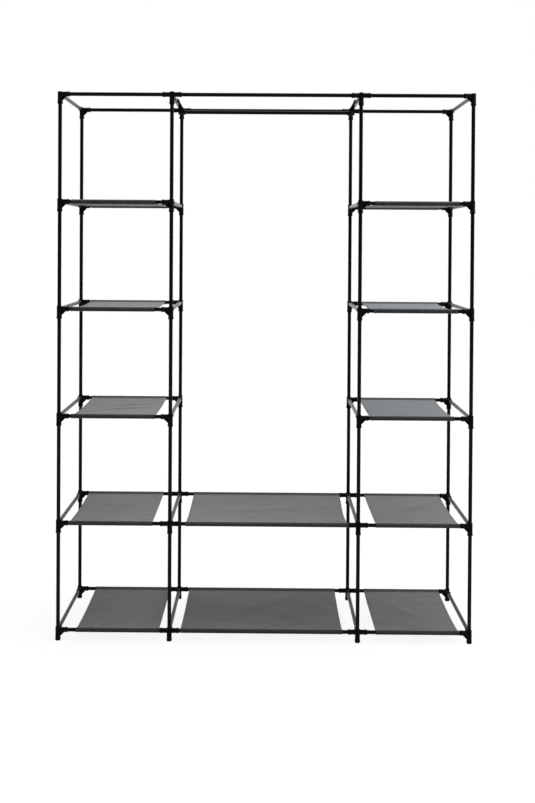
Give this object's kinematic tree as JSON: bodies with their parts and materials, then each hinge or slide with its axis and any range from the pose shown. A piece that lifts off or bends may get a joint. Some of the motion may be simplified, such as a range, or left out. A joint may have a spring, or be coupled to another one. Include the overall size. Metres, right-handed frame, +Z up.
{
  "type": "open frame wardrobe",
  "caption": "Free-standing wardrobe frame of black tubes in moulded connectors, with cloth shelves in two side towers and a hanging rod over a middle bay.",
  "frame": {"origin": "on the floor, under the middle of the frame's width and depth", "axes": "+Z up, +X to the right seen from the front, +Y to the back, so the open front faces -Y"},
  "size_m": [1.3034, 0.4528, 1.7179],
  "materials": {
    "tube_coating": "satin black coating on steel tube",
    "connector_plastic": "moulded black plastic, slightly satin",
    "foot_plug": "moulded black plastic, matt",
    "shelf_cloth": "charcoal non-woven cloth"
  },
  "bodies": {
    "frame": {"connectors_inner_1": "connector_plastic", "connectors_inner_2": "connector_plastic", "connectors_inner_3": "connector_plastic", "connectors_inner_4": "connector_plastic", "connectors_inner_5": "connector_plastic", "connectors_inner_top": "connector_plastic", "connectors_outer_1": "connector_plastic", "connectors_outer_2": "connector_plastic", "connectors_outer_3": "connector_plastic", "connectors_outer_4": "connector_plastic", "connectors_outer_5": "connector_plastic", "connectors_outer_top": "connector_plastic", "depth_rails_left_inner": "tube_coating", "depth_rails_left_outer": "tube_coating", "depth_rails_right_inner": "tube_coating", "depth_rails_right_outer": "tube_coating", "foot_plugs": "foot_plug", "rod_bearer_left": "tube_coating", "rod_bearer_right": "tube_coating", "shelf_rails_left_1": "tube_coating", "shelf_rails_left_2": "tube_coating", "shelf_rails_left_3": "tube_coating", "shelf_rails_left_4": "tube_coating", "shelf_rails_left_5": "tube_coating", "shelf_rails_middle_1": "tube_coating", "shelf_rails_middle_2": "tube_coating", "shelf_rails_right_1": "tube_coating", "shelf_rails_right_2": "tube_coating", "shelf_rails_right_3": "tube_coating", "shelf_rails_right_4": "tube_coating", "shelf_rails_right_5": "tube_coating", "top_rails_left": "tube_coating", "top_rails_middle": "tube_coating", "top_rails_right": "tube_coating", "upright_left_inner_front": "tube_coating", "upright_left_inner_rear": "tube_coating", "upright_left_outer_front": "tube_coating", "upright_left_outer_rear": "tube_coating", "upright_right_inner_front": "tube_coating", "upright_right_inner_rear": "tube_coating", "upright_right_outer_front": "tube_coating", "upright_right_outer_rear": "tube_coating"},
    "rod_set": {"hanging_rod": "tube_coating", "rod_holder_left": "connector_plastic", "rod_holder_right": "connector_plastic"},
    "shelf_cloth_left_1": {"shelf_cloth_left_1": "shelf_cloth"},
    "shelf_cloth_left_2": {"shelf_cloth_left_2": "shelf_cloth"},
    "shelf_cloth_left_3": {"shelf_cloth_left_3": "shelf_cloth"},
    "shelf_cloth_left_4": {"shelf_cloth_left_4": "shelf_cloth"},
    "shelf_cloth_left_5": {"shelf_cloth_left_5": "shelf_cloth"},
    "shelf_cloth_middle_1": {"shelf_cloth_middle_1": "shelf_cloth"},
    "shelf_cloth_middle_2": {"shelf_cloth_middle_2": "shelf_cloth"},
    "shelf_cloth_right_1": {"shelf_cloth_right_1": "shelf_cloth"},
    "shelf_cloth_right_2": {"shelf_cloth_right_2": "shelf_cloth"},
    "shelf_cloth_right_3": {"shelf_cloth_right_3": "shelf_cloth"},
    "shelf_cloth_right_4": {"shelf_cloth_right_4": "shelf_cloth"},
    "shelf_cloth_right_5": {"shelf_cloth_right_5": "shelf_cloth"}
  },
  "joints": [
    {"name": "rod_slide", "type": "slide", "parent": "frame", "child": "rod_set", "axis": [0, 1, 0], "range_m": [-0.1495, 0.2095]},
    {"name": "cloth_slide_left_1", "type": "slide", "parent": "frame", "child": "shelf_cloth_left_1", "axis": [1, 0, 0], "range_m": [-0.02652, 0.00115]},
    {"name": "cloth_slide_left_2", "type": "slide", "parent": "frame", "child": "shelf_cloth_left_2", "axis": [1, 0, 0], "range_m": [-0.00115, 0.02363]},
    {"name": "cloth_slide_left_3", "type": "slide", "parent": "frame", "child": "shelf_cloth_left_3", "axis": [1, 0, 0], "range_m": [-0.0084, 0.01565]},
    {"name": "cloth_slide_left_4", "type": "slide", "parent": "frame", "child": "shelf_cloth_left_4", "axis": [1, 0, 0], "range_m": [-0.00405, 0.0229]},
    {"name": "cloth_slide_left_5", "type": "slide", "parent": "frame", "child": "shelf_cloth_left_5", "axis": [1, 0, 0], "range_m": [-0.00695, 0.02145]},
    {"name": "cloth_slide_middle_1", "type": "slide", "parent": "frame", "child": "shelf_cloth_middle_1", "axis": [1, 0, 0], "range_m": [-0.00233, 0.01545]},
    {"name": "cloth_slide_middle_2", "type": "slide", "parent": "frame", "child": "shelf_cloth_middle_2", "axis": [1, 0, 0], "range_m": [-0.01702, 0.00075]},
    {"name": "cloth_slide_right_1", "type": "slide", "parent": "frame", "child": "shelf_cloth_right_1", "axis": [1, 0, 0], "range_m": [-0.01927, 0.00188]},
    {"name": "cloth_slide_right_2", "type": "slide", "parent": "frame", "child": "shelf_cloth_right_2", "axis": [1, 0, 0], "range_m": [-0.02072, 0.0026]},
    {"name": "cloth_slide_right_3", "type": "slide", "parent": "frame", "child": "shelf_cloth_right_3", "axis": [1, 0, 0], "range_m": [-0.00115, 0.0142]},
    {"name": "cloth_slide_right_4", "type": "slide", "parent": "frame", "child": "shelf_cloth_right_4", "axis": [1, 0, 0], "range_m": [-0.0142, 0.0142]},
    {"name": "cloth_slide_right_5", "type": "slide", "parent": "frame", "child": "shelf_cloth_right_5", "axis": [1, 0, 0], "range_m": [-0.0142, 0.01275]}
  ]
}
